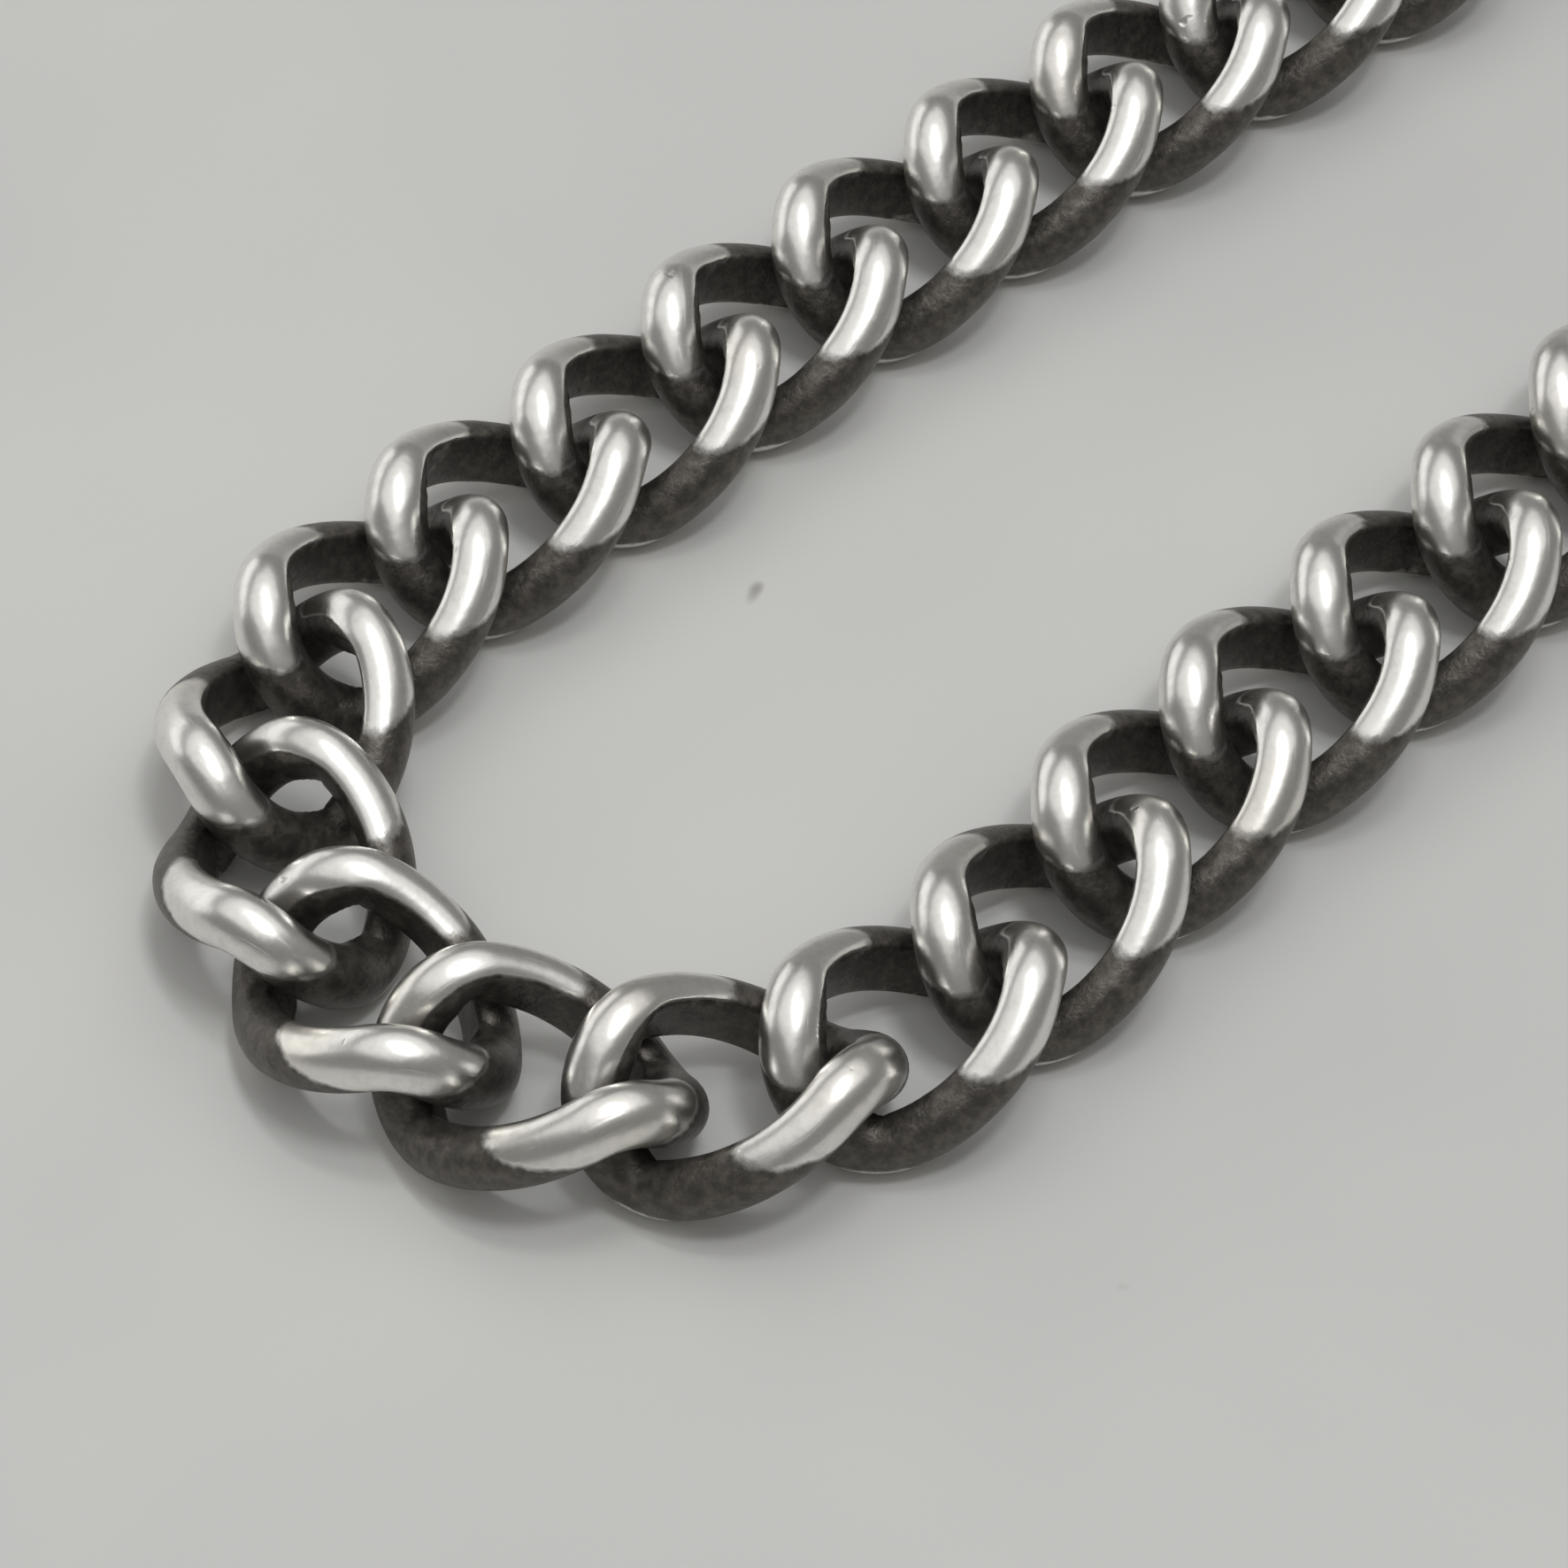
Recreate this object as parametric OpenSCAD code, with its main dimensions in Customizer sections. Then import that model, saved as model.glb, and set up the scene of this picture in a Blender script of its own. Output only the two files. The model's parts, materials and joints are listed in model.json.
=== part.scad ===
// Pocket watch chain: a curb chain of twisted oval links, with a button bar at one end
// and a swivel clasp at the other, laid flat in a loop. Millimetres, +Z up, table at Z = 0.

/* [Links] */
// Diameter of the round wire of a curb link
wire_d = 2; // [1.9:0.05:2]
// Distance from a link's middle to the corner point of its end bend
link_end = 4.7; // [4.65:0.05:4.8]
// Distance from a link's middle to the corner point of its side bend
link_side = 3.85; // [3.8:0.05:3.9]
// How far along the link its shoulder bends stand
shoulder_x = 3.2; // [3.1:0.05:3.3]
// How far off the link's long axis its shoulder bends stand
shoulder_r = 2.5; // [2.45:0.05:2.6]
// Twist of the shoulders out of the flat, in degrees
shoulder_twist = 45; // [43:1:46]
// Length of straight kept on each side of a shoulder's corner point for its bend
shoulder_cut = 1.1; // [1.05:0.05:1.15]
// Free play between two links pulled together at their middle
link_play = 0.35; // [0.3:0.05:0.4]

/* [Lay on the table] */
// Turn of each joint where the chain runs off towards its ends, in degrees
flare_turn = 9; // [6:1:10]
// Middle of the loop's own link, so that the whole chain is centred on the origin
loop_at = [-53.5, 11.48]; // [-60:0.01:60]

/* [Jump rings] */
// Diameter of a jump ring's wire
ring_wire = 1.4; // [1.3:0.1:1.4]
// Radius of a jump ring to the middle of its wire
ring_r = 3; // [3:0.1:3.1]
// Tilt of a jump ring as it lies on the table, in degrees
ring_tilt = 35; // [33:1:36]

/* [Button bar] */
// Length of the button bar
bar_len = 27; // [25:1:30]
// Diameter of the button bar
bar_d = 3; // [2.8:0.1:3.2]
// Diameter of the collar in the middle of the bar
collar_d = 4.8; // [4.2:0.1:4.9]
// Length of the collar along the bar
collar_len = 5; // [4.5:0.5:6]

/* [Swivel clasp] */
// Diameter of the swivel's round barrel
barrel_d = 4.8; // [4.6:0.1:4.9]
// Length of the barrel
barrel_len = 6; // [6:0.5:7]
// Diameter of the hook's bar
hook_d = 2.4; // [2.2:0.1:2.5]
// Radius of the hook's bend to the middle of its bar
hook_r = 4; // [4:0.1:4.2]
// Length of the straight back of the hook
hook_back = 5; // [5:0.5:6]
// Thickness of the thumb lever
lever_t = 1.2; // [1:0.1:1.2]

/* [Hidden] */
$fn = 48;
link_count = 46;
root_link = 24;
// turn at each joint, from the button bar round the loop to the clasp, in whole degrees
bar_side = concat([0, 0], [for (i = [1 : 10]) -flare_turn], [-4, -1]);
loop = [4, -2, 3, 2, -6, 10, 28, 28, 28, 28, 28, 28, 14, -5, -4, 3];
clasp_side = concat([0, -2], [for (i = [1 : 10]) -flare_turn], [0, 0, 0]);
turns = concat(bar_side, loop, clasp_side);
root_heading = 270;

two_digits = function (i) i < 10 ? str("0", i) : str(i);
link_name = function (i) str("link_", two_digits(i));

silver = "#c9c8c4";
steel = "#8f9296";

// ---- vectors
unit = function (v) v / norm(v);
corner_angle = function (a, b) acos(max(-1, min(1, a * b)));

// ---- the link's wire: a closed outline of eight corner points, each rounded by one arc
shoulder_y = shoulder_r * cos(shoulder_twist);
shoulder_z = shoulder_r * sin(shoulder_twist);
corners = [
    [link_end, 0, 0],
    [shoulder_x, shoulder_y, -shoulder_z],
    [0, link_side, 0],
    [-shoulder_x, shoulder_y, shoulder_z],
    [-link_end, 0, 0],
    [-shoulder_x, -shoulder_y, -shoulder_z],
    [0, -link_side, 0],
    [shoulder_x, -shoulder_y, shoulder_z]
];
end_side = norm(corners[1] - corners[0]);
long_side = norm(corners[2] - corners[1]);
end_cut = end_side - shoulder_cut;
side_cut = long_side - shoulder_cut;
cuts = [end_cut, shoulder_cut, side_cut, shoulder_cut, end_cut, shoulder_cut, side_cut, shoulder_cut];

to_last = function (i) unit(corners[(i + 7) % 8] - corners[i]);
to_next = function (i) unit(corners[(i + 1) % 8] - corners[i]);
bend = function (i) 180 - corner_angle(to_last(i), to_next(i));
bend_r = function (i) cuts[i] / tan(bend(i) / 2);
bend_mid = function (i) corners[i] + unit(to_last(i) + to_next(i)) * bend_r(i) / cos(bend(i) / 2);

// where the end bend's wire crosses the link's long axis, how far the wire's middle dips at a
// shoulder, the length of chain a link adds, and the height of a link's middle over the table
link_tip = bend_mid(0).x + bend_r(0);
shoulder_normal = unit(cross(to_last(1), to_next(1)));
shoulder_dip = -bend_mid(1).z + bend_r(1) * sqrt(1 - pow(shoulder_normal.z, 2));
pitch = 2 * link_tip - wire_d - link_play;
lie_z = shoulder_dip + wire_d / 2;

// ---- where each link lies: [x, y, heading]
step_on = function (p, turn, way) let (a = p.z, b = p.z + way * turn)
    [p.x + way * pitch / 2 * (cos(a) + cos(b)), p.y + way * pitch / 2 * (sin(a) + sin(b)), b];
place = function (i) i == root_link ? [loop_at.x, loop_at.y, root_heading]
    : i > root_link ? step_on(place(i - 1), turns[i - 2], 1)
    : step_on(place(i + 1), turns[i - 1], -1);

// ---- the pieces at the chain's ends: distances outwards from the middle of the end link
ring_reach = ring_r - ring_wire / 2 - link_play / 2;
ring_x = pitch / 2 + ring_reach;
eye_wire = 1.4;
eye_r = 2.6;
eye_tilt = -40;
eye_reach = eye_r - eye_wire / 2 - link_play / 2;
eye_x = ring_x + ring_reach + eye_reach;
shank_d = 1.8;
shank_shown = 0.3;
shank_x = eye_x + eye_r + eye_wire / 2 + shank_shown;
bar_x = shank_x + collar_d / 2;
bar_seat = 1.2;
solder_gap = 0.02;
barrel_x = shank_x;

module lay(i, outwards = false) {
    p = place(i);
    translate([p.x, p.y, lie_z])
    rotate([0, 0, p.z + (outwards ? 180 : 0)])
    children();
}

module wire_arc(i) {
    start = corners[i] + to_last(i) * cuts[i];
    out = unit(start - bend_mid(i));
    along = -to_last(i);
    up = cross(out, along);
    m = bend_mid(i);
    multmatrix([[out.x, along.x, up.x, m.x],
        [out.y, along.y, up.y, m.y],
        [out.z, along.z, up.z, m.z],
        [0, 0, 0, 1]])
    rotate_extrude(angle = bend(i))
    translate([bend_r(i), 0])
    circle(d = wire_d);
}

module curb_link(i) {
    color(silver)
    lay(i)
    for (k = [0 : 7]) wire_arc(k);
}

module ring(r, wire) {
    rotate_extrude()
    translate([r, 0])
    circle(d = wire);
}

module jump_ring() {
    color(silver)
    translate([ring_x, 0, 0])
    rotate([ring_tilt, 0, 0])
    ring(ring_r, ring_wire);
}

module along_x(d, from, to) {
    translate([from, 0, 0])
    rotate([0, 90, 0])
    cylinder(d = d, h = to - from);
}

module eye_on_shank(shank_to) {
    translate([eye_x, 0, 0])
    rotate([eye_tilt, 0, 0])
    ring(eye_r, eye_wire);
    along_x(shank_d, eye_x + eye_r, shank_to);
}

// ---- button bar: its eye's shank is soldered into a blind hole in the collar
module bar_eye_shape() {
    color(silver)
    eye_on_shank(bar_x + bar_seat);
}

bead_t = 0.2;
bead_len = 0.3;

module bar_shape() {
    tip = bar_len / 2 - bar_d / 2;
    color(silver)
    difference() {
        translate([bar_x, 0, 0])
        rotate([90, 0, 0]) {
            cylinder(d = bar_d, h = 2 * tip, center = true);
            cylinder(d = collar_d, h = collar_len, center = true);
            cylinder(d = bar_d + 2 * bead_t, h = collar_len + 2 * bead_len, center = true);
            for (side = [-1, 1]) translate([0, 0, side * tip]) sphere(d = bar_d);
        }
        along_x(shank_d + 2 * solder_gap, bar_x - collar_d, bar_x + bar_seat + solder_gap);
    }
}

// ---- swivel clasp: the eye's headed shank turns in the barrel, whose cheeks carry the thumb lever
run_gap = 0.05;
head_d = 3;
head_t = 1.2;
head_in = 2;
head_x = barrel_x + head_in;
head_gap = 0.1;
cheek_x = barrel_x + barrel_len;
cheek_len = 4.5;
cheek_w = 8.4;
cheek_t = 4.4;
cheek_in = 1;
hook_y = 3.4;
bend_x = cheek_x + cheek_len + hook_back;
tip_y = hook_y - 2 * hook_r;
tip_len = 1.6;
pin_d = 1.2;
pin_len = 4.4;
pin_in = 2.2;
pin_down = 2.6;
pin_at = [cheek_x + pin_in, -pin_down, 0];
slot_gap = 0.15;
slot_back = 2;
slot_top = 2.6;
lever_w = 1.1;
lever_hub_d = 2.6;
lever_len = 6.5;
lever_gap = 0.1;
tab_at = [-1.2, -3.4];
tab_w = 1.6;
tab_d = 2;
spring_t = 0.25;
spring_w = 1;
spring_len = 3.3;
spring_foot = 1.1;
spring_gap = 0.05;

module swivel_eye_shape() {
    color(silver) {
        eye_on_shank(head_x + head_t);
        along_x(head_d, head_x, head_x + head_t);
    }
}

module hook_shape() {
    color(silver)
    difference() {
        union() {
            along_x(barrel_d, barrel_x, cheek_x);
            translate([cheek_x - cheek_in, tip_y, -cheek_t / 2])
            cube([cheek_len + cheek_in, cheek_w, cheek_t]);
            translate([0, hook_y, 0])
            along_x(hook_d, cheek_x + cheek_len - cheek_in, bend_x);
            translate([bend_x, hook_y - hook_r, 0])
            rotate([0, 0, -90])
            rotate_extrude(angle = 180)
            translate([hook_r, 0])
            circle(d = hook_d);
            translate([0, tip_y, 0])
            along_x(hook_d, bend_x - tip_len, bend_x);
        }
        along_x(shank_d + 2 * run_gap, barrel_x - cheek_in, head_x);
        along_x(head_d + 2 * head_gap, head_x - head_gap, head_x + head_t + head_gap);
        translate([pin_at.x - slot_back, pin_at.y + slot_top - cheek_w, -lever_t / 2 - slot_gap])
        cube([cheek_len, cheek_w, lever_t + 2 * slot_gap]);
        translate(pin_at)
        cylinder(d = pin_d + 2 * solder_gap, h = 2 * cheek_t, center = true);
    }
}

// the lever's bar closes the hook's gap from inside, and its tab stands out for the thumb
module lever_shape() {
    stem = norm(tab_at);
    bar_y = tip_y + hook_d / 2 + lever_gap - pin_at.y;
    color(silver)
    translate([pin_at.x, pin_at.y, -lever_t / 2])
    linear_extrude(lever_t)
    difference() {
        union() {
            circle(d = lever_hub_d);
            translate([0, bar_y])
            square([lever_len, lever_w]);
            rotate(atan2(tab_at.y, tab_at.x))
            translate([0, -tab_w / 2])
            square([stem, tab_w]);
            translate(tab_at)
            circle(d = tab_d);
        }
        circle(d = pin_d + 2 * run_gap);
    }
}

module pin_shape() {
    color(steel)
    translate(pin_at)
    cylinder(d = pin_d, h = pin_len, center = true);
}

// a flat leaf behind the lever's hub, set in the back of the slot, that holds the lever shut
module spring_shape() {
    leaf_x = pin_at.x - slot_back + solder_gap;
    leaf_y = pin_at.y + lever_hub_d / 2 + spring_gap;
    color(steel)
    translate([leaf_x, leaf_y, -spring_w / 2]) {
        cube([spring_len, spring_t, spring_w]);
        cube([spring_t, spring_foot, spring_w]);
    }
}

lay(1, true) jump_ring();  // bar_ring
lay(1, true) bar_eye_shape();  // bar_eye
lay(1, true) bar_shape();  // button_bar
lay(link_count) jump_ring();  // clasp_ring
lay(link_count) swivel_eye_shape();  // swivel_eye
lay(link_count) hook_shape();  // clasp_hook
lay(link_count) lever_shape();  // thumb_lever
lay(link_count) pin_shape();  // lever_pin
lay(link_count) spring_shape();  // lever_spring
for (i = [1 : link_count])
    curb_link(i);
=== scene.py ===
"""Pocket watch chain on a pale table: looks, light and camera round the CAD frame."""

import json
import math
import random

import bpy
import numpy as np
from mathutils import Matrix, Vector

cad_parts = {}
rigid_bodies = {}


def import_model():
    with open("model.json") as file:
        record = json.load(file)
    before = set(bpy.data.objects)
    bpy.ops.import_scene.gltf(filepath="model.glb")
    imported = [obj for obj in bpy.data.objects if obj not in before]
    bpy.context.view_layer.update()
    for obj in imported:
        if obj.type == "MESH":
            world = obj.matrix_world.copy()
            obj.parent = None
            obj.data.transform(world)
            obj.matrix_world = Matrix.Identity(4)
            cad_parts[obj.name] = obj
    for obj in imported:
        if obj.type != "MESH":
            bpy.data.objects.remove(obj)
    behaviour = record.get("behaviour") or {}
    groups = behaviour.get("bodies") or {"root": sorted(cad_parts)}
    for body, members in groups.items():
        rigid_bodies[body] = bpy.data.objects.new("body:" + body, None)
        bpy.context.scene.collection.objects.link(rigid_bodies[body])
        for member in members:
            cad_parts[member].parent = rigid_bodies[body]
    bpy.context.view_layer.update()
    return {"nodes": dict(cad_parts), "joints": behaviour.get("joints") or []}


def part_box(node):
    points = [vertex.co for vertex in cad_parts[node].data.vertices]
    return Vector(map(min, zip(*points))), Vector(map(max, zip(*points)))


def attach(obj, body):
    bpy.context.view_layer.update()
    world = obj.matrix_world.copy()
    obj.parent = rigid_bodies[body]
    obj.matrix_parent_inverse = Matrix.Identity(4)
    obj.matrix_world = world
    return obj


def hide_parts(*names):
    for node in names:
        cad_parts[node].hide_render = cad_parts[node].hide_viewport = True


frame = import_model()
scene = bpy.context.scene
chance = random.Random(24)

MM = 0.001
WIRE_R = 1.0
LINK_END, LINK_SIDE = 4.7, 3.85
SHOULDER_X, SHOULDER_R = 3.2, 2.5
SHOULDER_TWIST = math.radians(45)
SHOULDER_CUT = 1.1
RING_R, RING_WIRE_R, RING_LEAN = 3.0, 0.7, 35
ARC_STEPS = 20
ROUND_STEPS = 32
FLAT_AT, ROUND_AT = -0.48, -0.96  # where the inner face of a wire starts, in wire radii
# between these heights, and on the inner face, the wire is dark: tarnish and painted shade
RUBBED_FROM, RUBBED_UNDER = 0.84, 1.75  # mm above and below a link's middle
INNER_EDGE, EDGE_FADE = 0.46, 2.5
WAVES, WAVE_SIZE = 5, 0.007  # slow changes of thickness along the wire
SEAM_SIZE, SEAM_WIDTH = 0.012, 0.012
BRIGHT_ALL_OVER = 0.6
BEVEL = 0.00015


# ---- node helpers
def add(tree, kind, at, **settings):
    node = tree.nodes.new(kind)
    node.location = (at[0] * 200, at[1] * -170)
    for name, value in settings.items():
        setattr(node, name, value)
    return node


def maths(tree, kind, at, a, b):
    node = add(tree, "ShaderNodeMath", at, operation=kind)
    for i, value in enumerate((a, b)):
        if isinstance(value, (int, float)):
            node.inputs[i].default_value = value
        else:
            tree.links.new(value, node.inputs[i])
    return node.outputs[0]


def between(tree, at, value, low, high, to_low=0.0, to_high=1.0):
    node = add(tree, "ShaderNodeMapRange", at, interpolation_type="SMOOTHSTEP")
    tree.links.new(value, node.inputs["Value"])
    names = ("From Min", "From Max", "To Min", "To Max")
    for name, number in zip(names, (low, high, to_low, to_high)):
        node.inputs[name].default_value = number
    return node.outputs[0]


def scaled(tree, at, value, factor):
    return maths(tree, "MULTIPLY", at, value, factor)


def swing(tree, at, value, factor):
    """A noise turned into a push both ways round zero."""
    return scaled(tree, at, maths(tree, "SUBTRACT", (at[0] - 1, at[1]), value, 0.5), factor)


def mixed(tree, at, share, a, b):
    node = add(tree, "ShaderNodeMix", at, data_type="RGBA")
    tree.links.new(share, node.inputs["Factor"])
    for socket, value in ((node.inputs[6], a), (node.inputs[7], b)):
        if isinstance(value, tuple):
            socket.default_value = (*value, 1)
        else:
            tree.links.new(value, socket)
    return node.outputs[2]


def noise(tree, at, vector, scale, detail=3.0, roughness=0.55, seed=None):
    node = add(tree, "ShaderNodeTexNoise", at, noise_dimensions="4D" if seed is not None else "3D")
    tree.links.new(vector, node.inputs["Vector"])
    if seed is not None:
        tree.links.new(seed, node.inputs["W"])
    node.inputs["Scale"].default_value = scale
    node.inputs["Detail"].default_value = detail
    node.inputs["Roughness"].default_value = roughness
    return node.outputs["Fac"]


def new_group(name, inputs, outputs):
    tree = bpy.data.node_groups.new(name, "ShaderNodeTree")
    for label, kind in inputs:
        tree.interface.new_socket(label, in_out="INPUT", socket_type=kind)
    for label, kind in outputs:
        tree.interface.new_socket(label, in_out="OUTPUT", socket_type=kind)
    return tree, add(tree, "NodeGroupInput", (-6, 0)), add(tree, "NodeGroupOutput", (8, 0))


def use_group(tree, group, at, **inputs):
    node = add(tree, "ShaderNodeGroup", at)
    node.node_tree = group
    for name, value in inputs.items():
        socket = node.inputs[name.replace("_", " ")]
        if isinstance(value, (int, float)):
            socket.default_value = value
        else:
            tree.links.new(value, socket)
    return node


FLOAT, COLOUR, VECTOR = "NodeSocketFloat", "NodeSocketColor", "NodeSocketVector"
# dark silver: tarnish, and painted shade along the sides, on the inner faces and underneath
TARNISH_AND_SHADE_DARK, TARNISH_AND_SHADE_LIGHT = (0.085, 0.078, 0.070), (0.165, 0.152, 0.135)
SILVER, SILVER_WARM = (0.88, 0.87, 0.84), (0.80, 0.745, 0.62)
SILVER_CLOUDED = (0.42, 0.405, 0.38)
STEEL_DARK, STEEL_LIGHT = (0.32, 0.33, 0.34), (0.55, 0.56, 0.58)
TABLE_DARK, TABLE_LIGHT = (0.62, 0.62, 0.612), (0.69, 0.69, 0.677)
SPECK = (0.22, 0.21, 0.20)


# ---- silver that is rubbed bright where it stands out and dark elsewhere, with tarnish and painted shade
def silver_wear_and_shade_group():
    tree, given, out = new_group(
        "silver wear and painted shade",
        [("Place", VECTOR), ("Stands Out", FLOAT), ("Seed", FLOAT)],
        [("Colour", COLOUR), ("Roughness", FLOAT), ("Metal", FLOAT), ("Height", FLOAT)],
    )
    place, stands, seed = (given.outputs[n] for n in ("Place", "Stands Out", "Seed"))
    wander = noise(tree, (-4, 0), place, 420, 4, 0.6, seed)
    fine = noise(tree, (-4, 1), place, 2600, 5, 0.65, seed)
    broad = noise(tree, (-4, 2), place, 150, 2, 0.5, seed)
    shifted = maths(tree, "ADD", (-2, 0), stands, swing(tree, (-3, 0), wander, 0.55))
    shifted = maths(tree, "ADD", (-1, 0), shifted, swing(tree, (-2, 1), fine, 0.30))
    # bright marks the rubbed silver; everywhere else gets the dark colours, which are tarnish and
    # painted shade
    bright = between(tree, (0, 0), shifted, -0.12, 0.12)

    tarnish_and_shade = between(tree, (-1, 1), fine, 0.35, 0.7)
    dark = mixed(tree, (0, 1), tarnish_and_shade, TARNISH_AND_SHADE_DARK, TARNISH_AND_SHADE_LIGHT)
    warm = between(tree, (-1, 3), broad, 0.52, 0.75, 0.0, 0.35)
    clean = mixed(tree, (0, 2), warm, SILVER, SILVER_WARM)
    cloud = between(tree, (0, 3), fine, 0.42, 0.74, 0.0, 0.26)
    clean = mixed(tree, (1, 2), cloud, clean, SILVER_CLOUDED)
    tree.links.new(mixed(tree, (2, 0), bright, dark, clean), out.inputs["Colour"])

    smooth = maths(tree, "ADD", (1, 3), scaled(tree, (0, 4), fine, 0.16), 0.22)
    dull = maths(tree, "ADD", (1, 4), scaled(tree, (0, 5), fine, 0.25), 0.26)
    gap = maths(tree, "SUBTRACT", (2, 3), smooth, dull)
    rough = maths(tree, "ADD", (4, 3), maths(tree, "MULTIPLY", (3, 3), gap, bright), dull)
    tree.links.new(rough, out.inputs["Roughness"])
    tree.links.new(between(tree, (2, 5), bright, 0, 1, 0.72, 1.0), out.inputs["Metal"])

    spots = noise(tree, (-4, 4), place, 900, 2, 0.5, seed)
    pits = scaled(tree, (2, 8), between(tree, (0, 6), spots, 0.70, 0.80), 0.8)
    grain = maths(tree, "MULTIPLY", (1, 6), maths(tree, "SUBTRACT", (0, 7), 1.0, bright), fine)
    dents = scaled(tree, (1, 7), wander, 0.55)
    height = maths(tree, "ADD", (2, 6), dents, scaled(tree, (2, 7), grain, 0.9))
    tree.links.new(maths(tree, "SUBTRACT", (3, 6), height, pits), out.inputs["Height"])
    return tree


# ---- hair-line scratches that run along the piece
def scratch_group():
    tree, given, out = new_group(
        "scratches", [("Place", VECTOR), ("Seed", FLOAT)], [("Lines", FLOAT)])
    place, seed = given.outputs["Place"], given.outputs["Seed"]
    lines = noise(tree, (-2, 0), place, 1.0, 3, 0.7, seed)
    tree.links.new(between(tree, (0, 0), lines, 0.56, 0.74), out.inputs["Lines"])
    return tree


WEAR_AND_SHADE, SCRATCH = silver_wear_and_shade_group(), scratch_group()


def attribute(tree, at, name):
    return add(tree, "ShaderNodeAttribute", at, attribute_name=name)


def shader(name):
    material = bpy.data.materials.new(name)
    material.use_nodes = True
    tree = material.node_tree
    return material, tree, tree.nodes["Principled BSDF"]


def bumped(tree, at, height, distance, strength, normal=None):
    node = add(tree, "ShaderNodeBump", at)
    node.inputs["Distance"].default_value = distance
    node.inputs["Strength"].default_value = strength
    tree.links.new(height, node.inputs["Height"])
    if normal is not None:
        tree.links.new(normal, node.inputs["Normal"])
    return node.outputs["Normal"]


def silver(name, stands_out=None):
    """Worn silver, dark with tarnish and painted shade where it is not rubbed. Swept pieces carry how
    far each spot stands out; others are given one value.
    """
    material, tree, surface = shader(name)
    place = add(tree, "ShaderNodeTexCoord", (-8, 0)).outputs["Object"]
    if stands_out is None:
        stands = attribute(tree, (-8, 2), "stands_out").outputs["Fac"]
        seed = attribute(tree, (-8, 3), "seed").outputs["Fac"]
        streak = attribute(tree, (-8, 4), "streak").outputs["Vector"]
    else:
        value = add(tree, "ShaderNodeValue", (-8, 2))
        value.outputs[0].default_value = stands_out
        stands = seed = value.outputs[0]
        stretch = add(tree, "ShaderNodeVectorMath", (-7, 4), operation="MULTIPLY")
        tree.links.new(place, stretch.inputs[0])
        stretch.inputs[1].default_value = (2500, 900, 2500)
        streak = stretch.outputs[0]
    wear_and_shade = use_group(tree, WEAR_AND_SHADE, (-4, 0), Place=place, Stands_Out=stands, Seed=seed)
    lines = use_group(tree, SCRATCH, (-4, 4), Place=streak, Seed=seed).outputs["Lines"]
    tree.links.new(wear_and_shade.outputs["Colour"], surface.inputs["Base Color"])
    tree.links.new(wear_and_shade.outputs["Metal"], surface.inputs["Metallic"])
    rough = maths(tree, "ADD", (-2, 1), wear_and_shade.outputs["Roughness"], scaled(tree, (-3, 2), lines, 0.10))
    tree.links.new(rough, surface.inputs["Roughness"])
    normal = bumped(tree, (-3, 6), wear_and_shade.outputs["Height"], 0.00008, 0.8)
    normal = bumped(tree, (-2, 6), lines, 0.000006, 0.5, normal)
    tree.links.new(normal, surface.inputs["Normal"])
    return material


def spring_steel():
    material, tree, surface = shader("steel")
    place = add(tree, "ShaderNodeTexCoord", (-6, 0)).outputs["Object"]
    cloud = noise(tree, (-4, 0), place, 1500, 4)
    colour = mixed(tree, (-2, 0), cloud, STEEL_DARK, STEEL_LIGHT)
    tree.links.new(colour, surface.inputs["Base Color"])
    rough = between(tree, (-2, 2), cloud, 0.2, 0.8, 0.24, 0.42)
    tree.links.new(rough, surface.inputs["Roughness"])
    surface.inputs["Metallic"].default_value = 1.0
    tree.links.new(bumped(tree, (-2, 4), cloud, 0.00001, 0.4), surface.inputs["Normal"])
    return material


# worn silver for the links and rings, dark with tarnish and painted shade where unrubbed; the
# fittings are bright all over
WORN_SHADED_SILVER = silver("worn silver with painted shade")
BRIGHT_SILVER = silver("bright silver", BRIGHT_ALL_OVER)
STEEL = spring_steel()


# ---- swept wire
def unit(v):
    return v / np.linalg.norm(v)


def link_line():
    """Middle line of a link's wire: eight corners, each rounded by one arc."""
    y, z = SHOULDER_R * math.cos(SHOULDER_TWIST), SHOULDER_R * math.sin(SHOULDER_TWIST)
    corners = [np.array(c, float) for c in (
        (LINK_END, 0, 0), (SHOULDER_X, y, -z), (0, LINK_SIDE, 0), (-SHOULDER_X, y, z),
        (-LINK_END, 0, 0), (-SHOULDER_X, -y, -z), (0, -LINK_SIDE, 0), (SHOULDER_X, -y, z))]
    end_cut = np.linalg.norm(corners[1] - corners[0]) - SHOULDER_CUT
    side_cut = np.linalg.norm(corners[2] - corners[1]) - SHOULDER_CUT
    line = []
    for i, corner in enumerate(corners):
        cut = (end_cut, SHOULDER_CUT, side_cut, SHOULDER_CUT)[i % 4]
        back, ahead = unit(corners[i - 1] - corner), unit(corners[(i + 1) % 8] - corner)
        turn = math.pi - math.acos(back @ ahead)
        radius = cut / math.tan(turn / 2)
        middle = corner + unit(back + ahead) * radius / math.cos(turn / 2)
        out = (corner + back * cut - middle) / radius
        for step in range(ARC_STEPS):
            a = turn * step / ARC_STEPS
            line.append(middle + radius * (math.cos(a) * out - math.sin(a) * back))
    return np.array(line)


def ring_line(radius, tilt):
    turn = np.linspace(0, 2 * math.pi, 8 * ARC_STEPS, endpoint=False)
    lean = math.radians(tilt)
    across = np.sin(turn)
    return radius * np.column_stack([np.cos(turn), across * math.cos(lean), across * math.sin(lean)])


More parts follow.
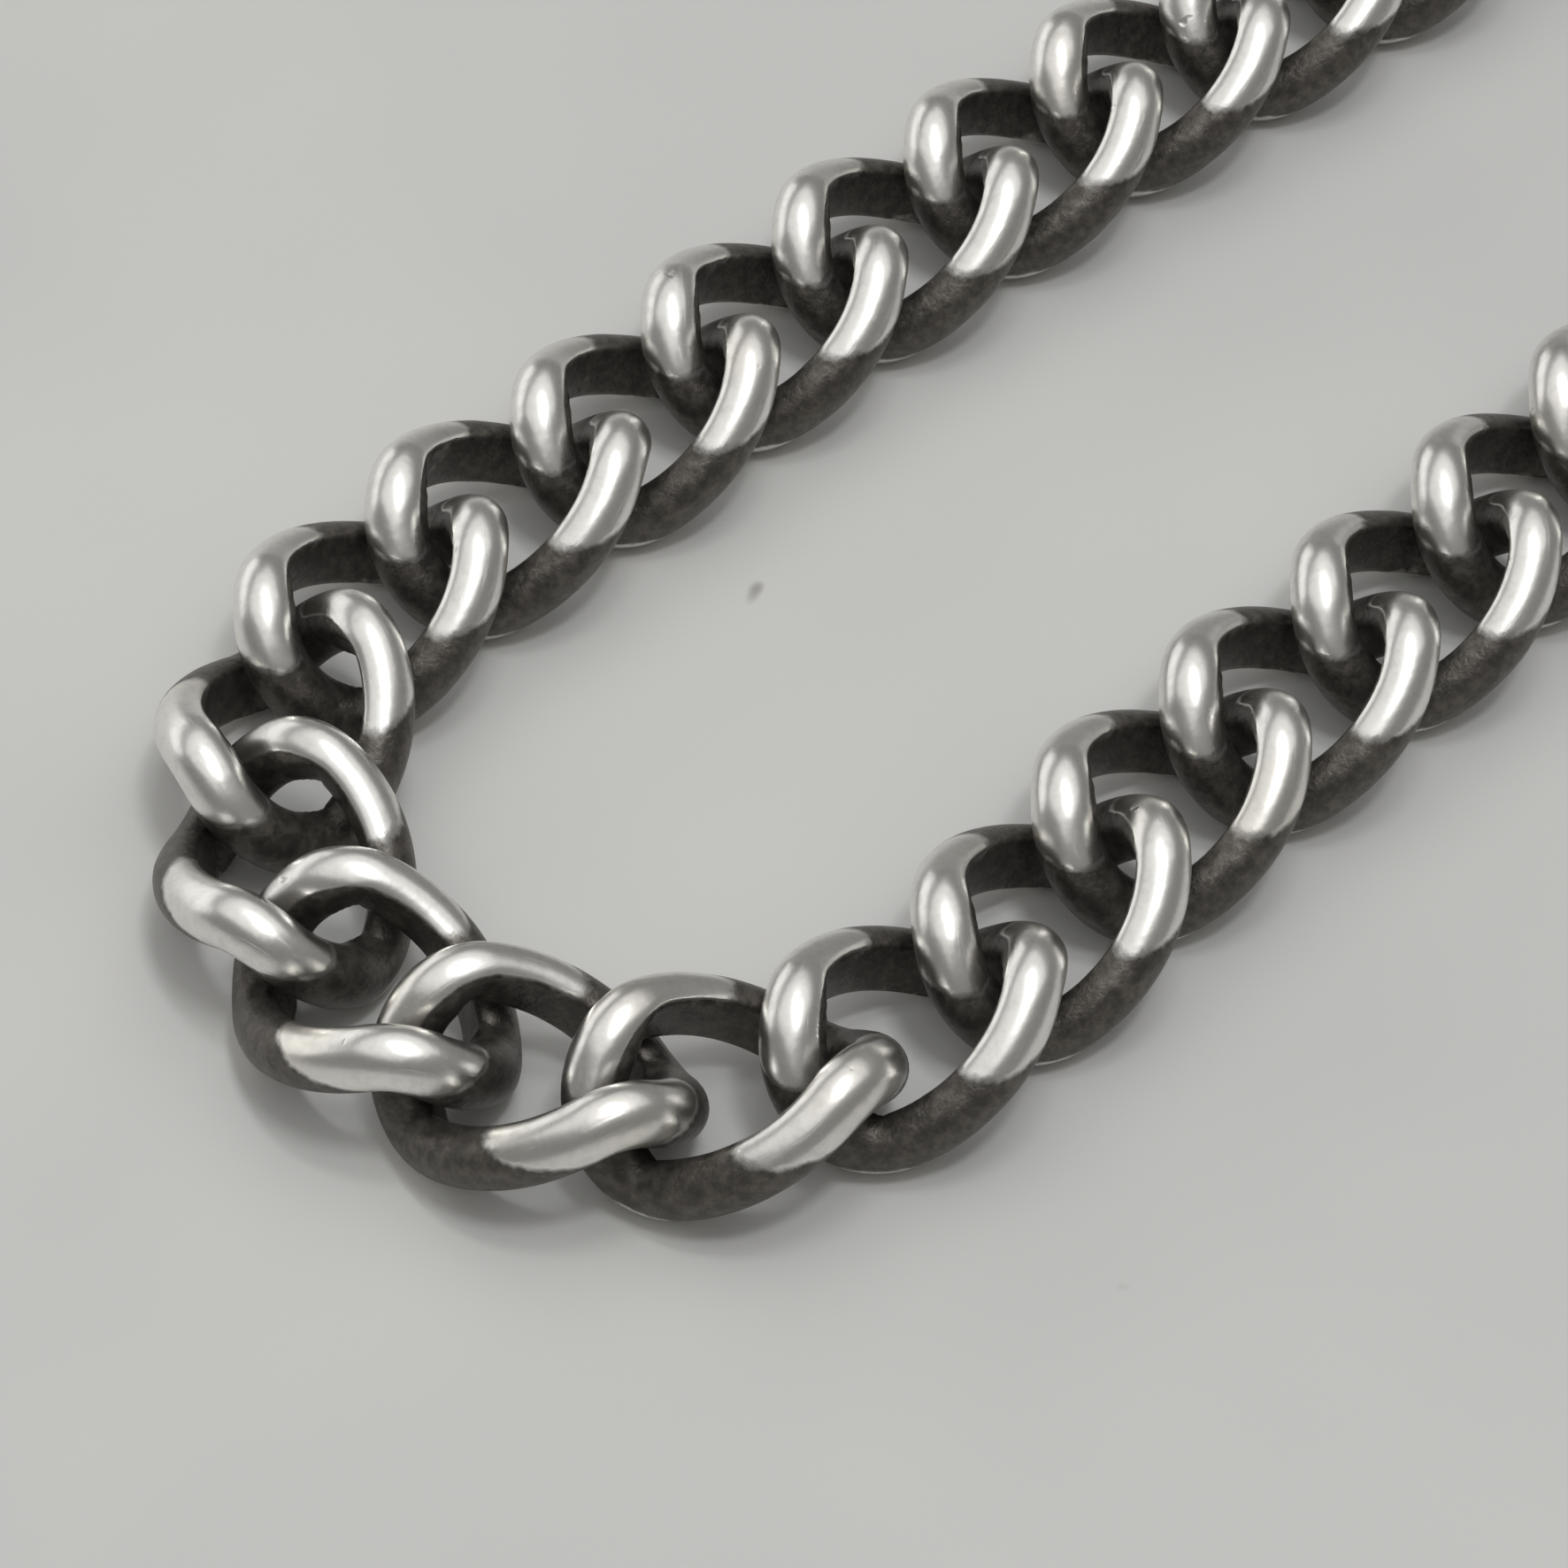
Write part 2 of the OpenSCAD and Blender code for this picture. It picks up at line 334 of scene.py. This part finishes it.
def swept(node, line, wire_r, flat_at):
    """A closed wire along line (mm, about the piece's own middle) in place of a CAD node,
    with dents, a solder seam and wear."""
    name = "wire_" + node
    count = len(line)
    tangent = np.roll(line, -1, 0) - np.roll(line, 1, 0)
    tangent /= np.linalg.norm(tangent, axis=1)[:, None]
    out = line - (line * tangent).sum(1)[:, None] * tangent
    out /= np.linalg.norm(out, axis=1)[:, None]
    side = np.cross(tangent, out)
    angle = np.linspace(0, 2 * math.pi, ROUND_STEPS, endpoint=False)
    u, v = np.cos(angle), np.sin(angle)
    # the inner face is flattened along the sides and left round where the neighbour bears on it
    reach = np.clip((np.abs(line[:, :1]) / np.abs(line[:, 0]).max() - 0.62) / 0.25, 0, 1)
    flat = flat_at + (ROUND_AT - flat_at) * reach
    u = np.broadcast_to(u, (count, ROUND_STEPS))
    u = np.where(u < flat, flat + 0.08 * (u - flat), u)
    length = np.concatenate([[0], np.cumsum(np.linalg.norm(np.diff(line, axis=0), axis=1))])
    whole = length[-1] + np.linalg.norm(line[0] - line[-1])
    share = length / whole
    thick = np.ones(count)
    for wave in range(1, WAVES + 1):
        size_of = chance.uniform(-WAVE_SIZE, WAVE_SIZE)
        thick += size_of * np.sin(2 * math.pi * wave * share + chance.uniform(0, 6.28))
    seam = chance.choice((0.25, 0.75)) + chance.uniform(-0.03, 0.03)
    thick += SEAM_SIZE * np.exp(-((share - seam) / SEAM_WIDTH) ** 2)
    radius = wire_r * thick[:, None, None]
    grid = line[:, None] + radius * (out[:, None] * u[:, :, None] + side[:, None] * v[None, :, None])
    number = np.arange(count * ROUND_STEPS).reshape(count, ROUND_STEPS)
    ahead, beside = np.roll(number, -1, 0), np.roll(number, -1, 1)
    faces = np.stack([number, ahead, np.roll(ahead, -1, 1), beside], -1).reshape(-1, 4)
    mesh = bpy.data.meshes.new(name)
    mesh.from_pydata((grid.reshape(-1, 3) * MM).tolist(), [], faces.tolist())
    mesh.shade_smooth()

    # rubbed where it stands out, less so underneath, and never on the inner face; elsewhere dark with
    # tarnish and painted shade
    height = grid[:, :, 2]
    stands = np.maximum(height - RUBBED_FROM, -height - RUBBED_UNDER)
    stands = np.minimum(stands, (u + INNER_EDGE) * EDGE_FADE)
    seed = np.full((count, ROUND_STEPS), chance.uniform(0, 50))
    flow = np.zeros((count, ROUND_STEPS, 3))
    flow[:, :, 0], flow[:, :, 1] = length[:, None] * 0.5, angle * 3.0
    for label, kind, field, data in (
            ("stands_out", "FLOAT", "value", stands), ("seed", "FLOAT", "value", seed),
            ("streak", "FLOAT_VECTOR", "vector", flow)):
        values = mesh.attributes.new(label, kind, "POINT").data
        values.foreach_set(field, data.astype(np.float32).ravel())
    mesh.materials.append(WORN_SHADED_SILVER)

    piece = bpy.data.objects.new(name, mesh)
    scene.collection.objects.link(piece)
    piece.matrix_world = laid(node)
    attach(piece, node)
    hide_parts(node)


def middle(node):
    low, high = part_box(node)
    return (low + high) / 2


def pivots(body):
    return [Vector(j["pos_m"]) for j in frame["joints"]
            if body in (j["parent"], j["child"]) and j["name"] != "clasp_spin" and "pos_m" in j]


def laid(body):
    """Place and heading of a piece of the chain, from the joints at its two ends."""
    a, b = pivots(body)[:2]
    ahead = (b - a).normalized()
    return Matrix.Translation((a + b) / 2) @ Matrix.Rotation(math.atan2(ahead.y, ahead.x), 4, "Z")


LINE = link_line()
for name in sorted(n for n in frame["nodes"] if n.startswith("link_")):
    swept(name, LINE, WIRE_R, FLAT_AT)
for name in ("bar_ring", "clasp_ring"):
    swept(name, ring_line(RING_R, RING_LEAN), RING_WIRE_R, ROUND_AT)

# ---- the other fittings keep their CAD shapes
FITTINGS = [(name, BRIGHT_SILVER, "silver") for name in (
    "bar_eye", "button_bar", "swivel_eye", "clasp_hook", "thumb_lever")]
FITTINGS += [(name, STEEL, "steel") for name in ("lever_pin", "lever_spring")]
for name, material, slot in FITTINGS:
    node = frame["nodes"][name]
    node.data.materials.clear()
    node.data.materials.append(material)
for name in ("clasp_hook", "button_bar", "thumb_lever"):
    edge = frame["nodes"][name].modifiers.new("soft edges", "BEVEL")
    edge.width = BEVEL
    edge.segments = 2
    edge.limit_method = "ANGLE"
    edge.angle_limit = math.radians(40)


# ---- table
def table_material():
    material, tree, surface = shader("pale table")
    place = add(tree, "ShaderNodeTexCoord", (-8, 0)).outputs["Object"]
    cloud = noise(tree, (-6, 0), place, 22, 3)
    cloud = between(tree, (-5, 0), cloud, 0.3, 0.7)
    tone = mixed(tree, (-4, 0), cloud, TABLE_DARK, TABLE_LIGHT)
    specks = between(tree, (-5, 2), noise(tree, (-6, 2), place, 260, 1, 0.4), 0.800, 0.83)
    tone = mixed(tree, (-3, 0), specks, tone, SPECK)
    tree.links.new(tone, surface.inputs["Base Color"])
    surface.inputs["Roughness"].default_value = 0.5
    grain = noise(tree, (-6, 4), place, 1800, 4)
    tree.links.new(bumped(tree, (-3, 4), grain, 0.00002, 0.3), surface.inputs["Normal"])
    return material


TABLE_HALF, TABLE_DROP = 3.0, -0.00002  # dropped a hair so that no piece shares its plane


def table(side):
    corners = [(-side, -side, 0), (side, -side, 0), (side, side, 0), (-side, side, 0)]
    mesh = bpy.data.meshes.new("table")
    mesh.from_pydata(corners, [], [(0, 1, 2, 3)])
    mesh.materials.append(table_material())
    piece = bpy.data.objects.new("table", mesh)
    piece.location.z = TABLE_DROP
    scene.collection.objects.link(piece)


table(TABLE_HALF)

# ---- light and camera, turned with the direction the chain is looked at from
LOOK_TURN = math.radians(44.7)
AIM = middle("link_24") + Vector((0.01502, -0.00233, -0.0005))


def seen_from(right, away, up):
    """A point given to the right of, beyond and above the aim, as the camera faces it."""
    c, s = math.cos(LOOK_TURN), math.sin(LOOK_TURN)
    return AIM + Vector((right * c + away * s, -right * s + away * c, up))


def panel(name, spot, target, wide, high, radiance, tint):
    lamp = bpy.data.lights.new(name, "AREA")
    lamp.shape, lamp.size, lamp.size_y = "RECTANGLE", wide, high
    lamp.energy = radiance * math.pi * wide * high
    lamp.color = tint
    piece = bpy.data.objects.new(name, lamp)
    piece.location = spot
    piece.rotation_euler = (target - spot).to_track_quat("-Z", "Y").to_euler()
    piece.visible_camera = False
    scene.collection.objects.link(piece)


DAYLIGHT, WHITE, ROOM = (1.0, 0.995, 0.98), (1, 1, 1), (0.20, 0.197, 0.19)
panel("ceiling", seen_from(0, 0.20, 0.95), seen_from(0, 0.2, 0), 2.0, 1.6, 0.62, DAYLIGHT)
panel("wall", seen_from(-0.9, 0.7, 0.32), seen_from(0, 0, 0.05), 1.5, 0.6, 0.85, DAYLIGHT)
panel("lamp near", seen_from(0.16, -0.12, 0.72), AIM, 0.16, 0.09, 21.0, WHITE)
panel("lamp far", seen_from(0.08, 0.10, 0.76), AIM, 0.20, 0.08, 12.0, WHITE)

world = bpy.data.worlds.new("room")
scene.world = world
world.use_nodes = True
background = world.node_tree.nodes["Background"].inputs
background["Color"].default_value = (*ROOM, 1)
background["Strength"].default_value = 1.0

TILT, DISTANCE, ANGLE = math.radians(49.25), 0.1737, math.radians(16)
camera = bpy.data.objects.new("camera", bpy.data.cameras.new("camera"))
scene.collection.objects.link(camera)
camera.location = seen_from(0, -DISTANCE * math.cos(TILT), DISTANCE * math.sin(TILT))
camera.rotation_euler = (AIM - camera.location).to_track_quat("-Z", "Y").to_euler()
camera.data.angle = ANGLE
camera.data.clip_start = 0.01
scene.camera = camera
scene.view_settings.view_transform = "Standard"
